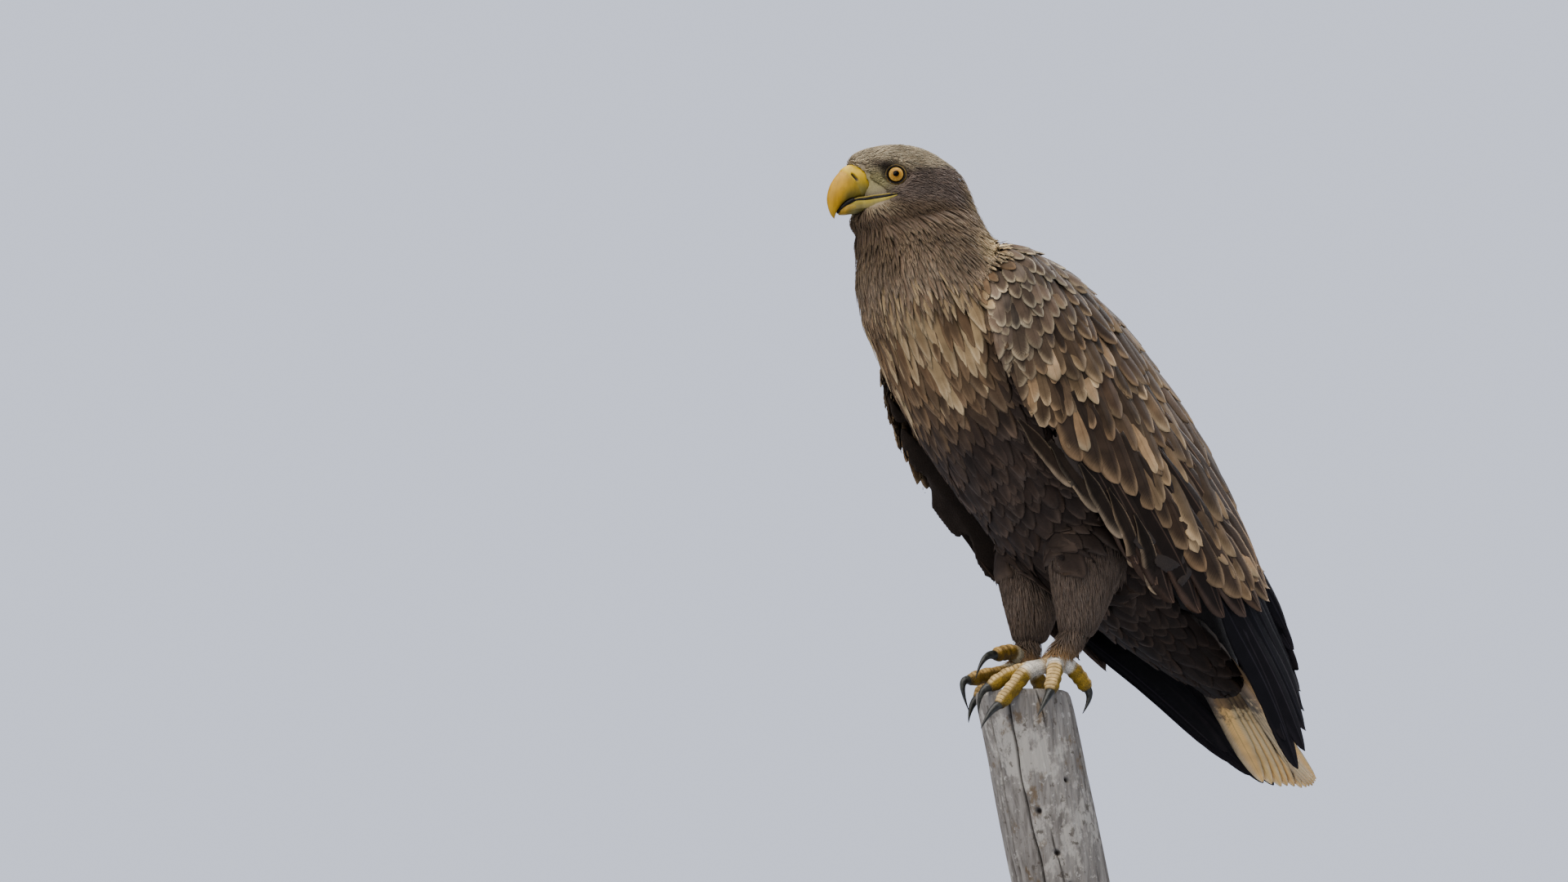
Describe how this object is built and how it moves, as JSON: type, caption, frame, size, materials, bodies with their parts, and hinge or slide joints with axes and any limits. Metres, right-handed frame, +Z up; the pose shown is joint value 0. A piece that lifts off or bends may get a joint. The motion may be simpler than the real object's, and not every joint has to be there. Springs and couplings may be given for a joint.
{
  "type": "perched white-tailed eagle model",
  "caption": "Life-size adult white-tailed eagle, wings folded, gripping a cut length of weathered snag held on a flat display base by two short rods.",
  "frame": {"origin": "centre of the stand base's underside, on the floor", "axes": "+Z up, the bird faces -Y, its left side is +X"},
  "size_m": [0.34, 0.6666, 0.973],
  "materials": {
    "plumage_head": "pale grey-brown feathers with fine dark streaks",
    "plumage_neck": "pointed grey-brown to buff feathers",
    "plumage_body": "brown feathers, pale and streaked on the breast, dark on the belly",
    "plumage_leg": "soft dark brown feathers",
    "plumage_wing": "brown feathers with buff edges",
    "plumage_flight": "blackish brown flight feathers with a faint gloss",
    "plumage_tail": "cream white tail feathers, mottled brown at the root",
    "bill": "yellow horn, satin",
    "eye": "clear cornea over a pale amber iris and black pupil",
    "foot": "yellow scaled skin",
    "claw": "black horn, glossy",
    "perch_wood": "weathered grey wood without bark",
    "stand_base": "satin black painted board",
    "stand_rod": "brushed steel"
  },
  "bodies": {
    "root": {"head": "plumage_head", "neck": "plumage_neck", "trunk": "plumage_body", "tail": "plumage_tail", "wing_left": "plumage_wing", "wing_right": "plumage_wing", "primaries_left": "plumage_flight", "primaries_right": "plumage_flight", "thigh_left": "plumage_leg", "thigh_right": "plumage_leg", "bill_upper": "bill", "bill_lower": "bill", "eye_left": "eye", "eye_right": "eye", "tarsus_left": "foot", "tarsus_right": "foot", "perch": "perch_wood", "stand_base": "stand_base", "stand_rod_left": "stand_rod", "stand_rod_right": "stand_rod", "toe_left_inner": "foot", "claw_left_inner": "claw", "toe_left_middle": "foot", "claw_left_middle": "claw", "toe_left_outer": "foot", "claw_left_outer": "claw", "toe_left_hind": "foot", "claw_left_hind": "claw", "toe_right_inner": "foot", "claw_right_inner": "claw", "toe_right_middle": "foot", "claw_right_middle": "claw", "toe_right_outer": "foot", "claw_right_outer": "claw", "toe_right_hind": "foot", "claw_right_hind": "claw"}
  },
  "joints": []
}
